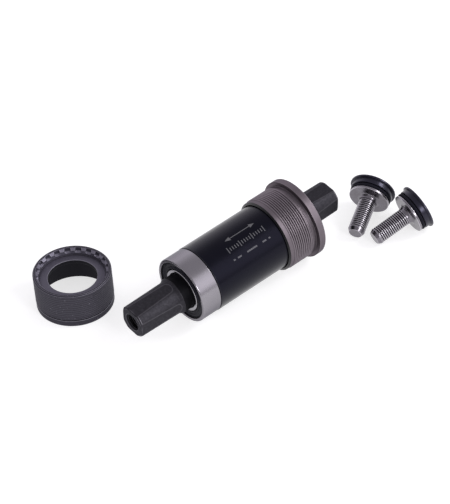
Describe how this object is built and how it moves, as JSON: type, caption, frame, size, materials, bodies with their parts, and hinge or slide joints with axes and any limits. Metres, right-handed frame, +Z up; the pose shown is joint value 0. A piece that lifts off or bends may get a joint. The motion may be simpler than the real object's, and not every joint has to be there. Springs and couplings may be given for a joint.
{
  "type": "bottom bracket",
  "caption": "Square-taper cartridge bottom bracket with a flanged drive cup, laid out beside its splined left cup and flanged crank bolts with dust caps.",
  "frame": {"origin": "middle of the base of the laid-out set, on the surface that it lies on", "axes": "+X along the spindle in plan, towards the flanged drive cup; +Z up; the loose left cup stands on the +Y side"},
  "size_m": [0.1658, 0.0944, 0.0379],
  "materials": {
    "plated_steel": "bright zinc plating over machined steel",
    "black_steel": "black oxide over ground steel",
    "black_paint": "gloss black enamel",
    "machined_steel": "turned grey steel with fine tool marks",
    "dark_steel": "satin dark phosphate steel",
    "polished_steel": "ground and polished bearing steel",
    "black_rubber": "matt nitrile rubber",
    "cage_nylon": "natural nylon",
    "black_plastic": "moulded black plastic"
  },
  "bodies": {
    "cartridge": {"cartridge_shell": "black_paint", "drive_cup": "machined_steel", "left_outer_race": "polished_steel", "right_outer_race": "polished_steel", "left_outboard_seal": "black_rubber", "left_inboard_seal": "black_rubber", "right_outboard_seal": "black_rubber", "right_inboard_seal": "black_rubber"},
    "axle": {"spindle": "black_steel", "left_inner_race": "polished_steel", "right_inner_race": "polished_steel"},
    "left_ball_set": {"left_cage": "cage_nylon", "left_ball_01": "polished_steel", "left_ball_02": "polished_steel", "left_ball_03": "polished_steel", "left_ball_04": "polished_steel", "left_ball_05": "polished_steel", "left_ball_06": "polished_steel", "left_ball_07": "polished_steel", "left_ball_08": "polished_steel", "left_ball_09": "polished_steel", "left_ball_10": "polished_steel", "left_ball_11": "polished_steel"},
    "right_ball_set": {"right_cage": "cage_nylon", "right_ball_01": "polished_steel", "right_ball_02": "polished_steel", "right_ball_03": "polished_steel", "right_ball_04": "polished_steel", "right_ball_05": "polished_steel", "right_ball_06": "polished_steel", "right_ball_07": "polished_steel", "right_ball_08": "polished_steel", "right_ball_09": "polished_steel", "right_ball_10": "polished_steel", "right_ball_11": "polished_steel"},
    "loose_left_cup": {"left_cup": "dark_steel"},
    "bolt_a": {"crank_bolt_a": "plated_steel", "seal_ring_a": "black_rubber"},
    "bolt_b": {"crank_bolt_b": "plated_steel", "seal_ring_b": "black_rubber"},
    "cap_a": {"dust_cap_a": "black_plastic"},
    "cap_b": {"dust_cap_b": "black_plastic"}
  },
  "joints": [
    {"name": "spindle_spin", "type": "hinge", "parent": "cartridge", "child": "axle", "pos_m": [-0.00786, -0.01208, 0.01706], "axis": [0.9986, 0, 0.0536], "continuous": true},
    {"name": "left_cage_orbit", "type": "hinge", "parent": "cartridge", "child": "left_ball_set", "pos_m": [-0.03307, -0.01208, 0.0157], "axis": [0.9986, 0, 0.0536], "continuous": true},
    {"name": "right_cage_orbit", "type": "hinge", "parent": "cartridge", "child": "right_ball_set", "pos_m": [0.01736, -0.01208, 0.01841], "axis": [0.9986, 0, 0.0536], "continuous": true},
    {"name": "left_cup_lift", "type": "slide", "parent": "cartridge", "child": "loose_left_cup", "axis": [0, 0, 1], "range_m": [0, 0.06]},
    {"name": "bolt_a_lift", "type": "slide", "parent": "cartridge", "child": "bolt_a", "axis": [0, 0, 1], "range_m": [0, 0.06]},
    {"name": "cap_a_spin", "type": "hinge", "parent": "bolt_a", "child": "cap_a", "pos_m": [0.07182, -0.0139, 0.01028], "axis": [0.8476, 0.4488, 0.283], "continuous": true},
    {"name": "bolt_b_lift", "type": "slide", "parent": "cartridge", "child": "bolt_b", "axis": [0, 0, 1], "range_m": [0, 0.06]},
    {"name": "cap_b_spin", "type": "hinge", "parent": "bolt_b", "child": "cap_b", "pos_m": [0.07813, -0.03656, 0.01028], "axis": [0.9481, -0.1451, 0.283], "continuous": true}
  ],
  "couplings": [
    {"joint": "left_cage_orbit", "follows": "spindle_spin", "ratio": 0.40165},
    {"joint": "right_cage_orbit", "follows": "spindle_spin", "ratio": 0.40165}
  ]
}
